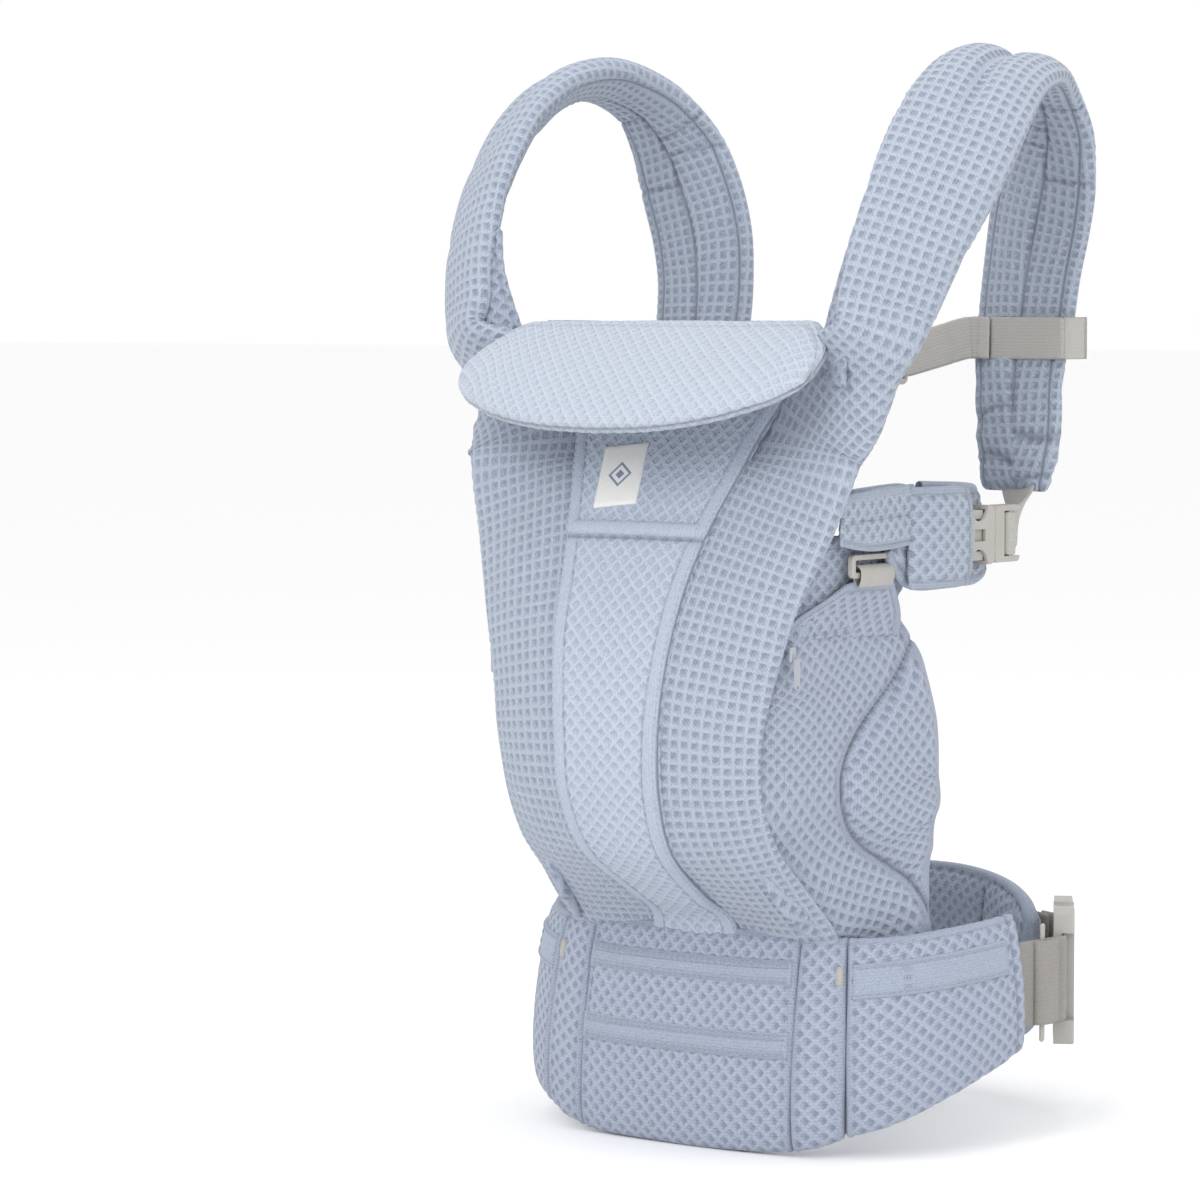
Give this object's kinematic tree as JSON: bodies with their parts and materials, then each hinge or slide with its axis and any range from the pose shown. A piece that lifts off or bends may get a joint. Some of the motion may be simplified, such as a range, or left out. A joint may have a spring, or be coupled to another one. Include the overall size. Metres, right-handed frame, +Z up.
{
  "type": "soft baby carrier",
  "caption": "Structured soft baby carrier with a padded hip belt, curved front panel, fold-down headrest, shoulder straps, chest strap and side-release buckles.",
  "frame": {"origin": "centre of the footprint on the surface that the hip belt stands on", "axes": "+Z up, -Y to the front of the carrier (away from the wearer's chest), +X to the side of the waist buckle"},
  "size_m": [0.3856, 0.3547, 0.6326],
  "materials": {
    "outer_mesh": "soft knitted air mesh with a waffle relief, pale blue",
    "lining_mesh": "soft knitted mesh lining, pale blue",
    "seat_mesh": "stretch mesh, pale blue, finer waffle",
    "trim_fabric": "smooth woven binding, pale blue",
    "label": "white woven label",
    "webbing": "warm grey polypropylene webbing",
    "elastic": "knitted elastic, pale blue",
    "buckle_plastic": "matte moulded acetal, warm grey",
    "zip_metal": "satin light grey moulded zip slider"
  },
  "bodies": {
    "carrier": {"belt_center": "outer_mesh", "belt_patch": "trim_fabric", "belt_side_left": "outer_mesh", "belt_side_right": "outer_mesh", "belt_wing_left": "outer_mesh", "belt_wing_right": "outer_mesh", "buckle_sleeve_left": "outer_mesh", "buckle_sleeve_right": "outer_mesh", "center_panel": "outer_mesh", "label": "label", "lumbar_loop_left": "elastic", "lumbar_loop_right": "elastic", "lumbar_pad": "lining_mesh", "panel_band_left": "outer_mesh", "panel_band_right": "outer_mesh", "pocket_welt": "trim_fabric", "seat_hook_tab_left": "webbing", "seat_hook_tab_right": "webbing", "seat_wing_left": "seat_mesh", "seat_wing_right": "seat_mesh", "shoulder_socket_left": "buckle_plastic", "shoulder_socket_right": "buckle_plastic", "shoulder_strap_left": "outer_mesh", "shoulder_strap_right": "outer_mesh", "side_band_left": "outer_mesh", "side_band_right": "outer_mesh", "strap_gusset_left": "lining_mesh", "strap_gusset_right": "lining_mesh", "thigh_pad_left": "seat_mesh", "thigh_pad_right": "seat_mesh", "waist_socket": "buckle_plastic", "waist_webbing_rear": "webbing", "waist_webbing_side": "webbing", "zip_slider_left": "zip_metal", "zip_slider_right": "zip_metal"},
    "headrest": {"headrest_pad": "outer_mesh", "headrest_lining": "lining_mesh"},
    "shoulder_plug_right": {"shoulder_plug_right": "buckle_plastic", "shoulder_webbing_right": "webbing"},
    "shoulder_prong_a_right": {"shoulder_prong_a_right": "buckle_plastic"},
    "shoulder_prong_b_right": {"shoulder_prong_b_right": "buckle_plastic"},
    "seat_hook_right": {"seat_hook_right": "buckle_plastic"},
    "zip_pull_right": {"zip_pull_right": "zip_metal"},
    "shoulder_plug_left": {"shoulder_plug_left": "buckle_plastic", "shoulder_webbing_left": "webbing"},
    "shoulder_prong_a_left": {"shoulder_prong_a_left": "buckle_plastic"},
    "shoulder_prong_b_left": {"shoulder_prong_b_left": "buckle_plastic"},
    "seat_hook_left": {"seat_hook_left": "buckle_plastic"},
    "zip_pull_left": {"zip_pull_left": "zip_metal"},
    "waist_plug": {"waist_plug": "buckle_plastic", "waist_webbing_loop": "webbing"},
    "chest_strap": {"chest_socket": "buckle_plastic", "chest_webbing_right": "webbing", "chest_webbing_left": "webbing"},
    "chest_plug": {"chest_plug": "buckle_plastic"},
    "waist_prong_a": {"waist_prong_a": "buckle_plastic"},
    "waist_prong_b": {"waist_prong_b": "buckle_plastic"},
    "chest_prong_a": {"chest_prong_a": "buckle_plastic"},
    "chest_prong_b": {"chest_prong_b": "buckle_plastic"}
  },
  "joints": [
    {"name": "headrest_fold", "type": "hinge", "parent": "carrier", "child": "headrest", "pos_m": [0, -0.0994, 0.479], "axis": [-1, 0, 0], "range_deg": [0, 122]},
    {"name": "chest_strap_height", "type": "slide", "parent": "carrier", "child": "chest_strap", "axis": [0, 0.2, 0.9798], "range_m": [-0.02, 0.02]},
    {"name": "shoulder_release_right", "type": "slide", "parent": "carrier", "child": "shoulder_plug_right", "axis": [0, 1, 0], "range_m": [0, 0.022]},
    {"name": "shoulder_prong_a_right_squeeze", "type": "hinge", "parent": "shoulder_plug_right", "child": "shoulder_prong_a_right", "pos_m": [0.1345, 0.026, 0.3632], "axis": [1, 0, 0], "range_deg": [0, 5], "stiffness_Nm_per_rad": 0.05},
    {"name": "shoulder_prong_b_right_squeeze", "type": "hinge", "parent": "shoulder_plug_right", "child": "shoulder_prong_b_right", "pos_m": [0.1345, 0.026, 0.3408], "axis": [-1, 0, 0], "range_deg": [0, 5], "stiffness_Nm_per_rad": 0.05},
    {"name": "seat_hook_swing_right", "type": "hinge", "parent": "carrier", "child": "seat_hook_right", "pos_m": [0.1215, -0.073, 0.333], "axis": [0, 1, 0], "range_deg": [0, 100]},
    {"name": "zip_pull_swing_right", "type": "hinge", "parent": "carrier", "child": "zip_pull_right", "pos_m": [0.1068, -0.1265, 0.2874], "axis": [0, -1, 0], "range_deg": [0, 80]},
    {"name": "shoulder_release_left", "type": "slide", "parent": "carrier", "child": "shoulder_plug_left", "axis": [0, 1, 0], "range_m": [0, 0.022]},
    {"name": "shoulder_prong_a_left_squeeze", "type": "hinge", "parent": "shoulder_plug_left", "child": "shoulder_prong_a_left", "pos_m": [-0.1345, 0.026, 0.3632], "axis": [1, 0, 0], "range_deg": [0, 5], "stiffness_Nm_per_rad": 0.05},
    {"name": "shoulder_prong_b_left_squeeze", "type": "hinge", "parent": "shoulder_plug_left", "child": "shoulder_prong_b_left", "pos_m": [-0.1345, 0.026, 0.3408], "axis": [-1, 0, 0], "range_deg": [0, 5], "stiffness_Nm_per_rad": 0.05},
    {"name": "seat_hook_swing_left", "type": "hinge", "parent": "carrier", "child": "seat_hook_left", "pos_m": [-0.1215, -0.073, 0.333], "axis": [0, -1, 0], "range_deg": [0, 100]},
    {"name": "zip_pull_swing_left", "type": "hinge", "parent": "carrier", "child": "zip_pull_left", "pos_m": [-0.1068, -0.1265, 0.2874], "axis": [0, 1, 0], "range_deg": [0, 80]},
    {"name": "waist_release", "type": "slide", "parent": "carrier", "child": "waist_plug", "axis": [-0.53, 0.848, 0], "range_m": [0, 0.024]},
    {"name": "waist_prong_a_squeeze", "type": "hinge", "parent": "waist_plug", "child": "waist_prong_a", "pos_m": [0.134, 0.112, 0.1262], "axis": [0.848, 0.53, 0], "range_deg": [0, 5], "stiffness_Nm_per_rad": 0.05},
    {"name": "waist_prong_b_squeeze", "type": "hinge", "parent": "waist_plug", "child": "waist_prong_b", "pos_m": [0.134, 0.112, 0.0578], "axis": [-0.848, -0.53, 0], "range_deg": [0, 5], "stiffness_Nm_per_rad": 0.05},
    {"name": "chest_release", "type": "slide", "parent": "chest_strap", "child": "chest_plug", "axis": [-1, 0, 0], "range_m": [0, 0.02], "deforming": ["chest_webbing_left"]},
    {"name": "chest_prong_a_squeeze", "type": "hinge", "parent": "chest_plug", "child": "chest_prong_a", "pos_m": [0.003, 0.079, 0.4418], "axis": [0, -1, 0], "range_deg": [0, 5], "stiffness_Nm_per_rad": 0.05},
    {"name": "chest_prong_b_squeeze", "type": "hinge", "parent": "chest_plug", "child": "chest_prong_b", "pos_m": [0.003, 0.079, 0.4642], "axis": [0, 1, 0], "range_deg": [0, 5], "stiffness_Nm_per_rad": 0.05}
  ]
}
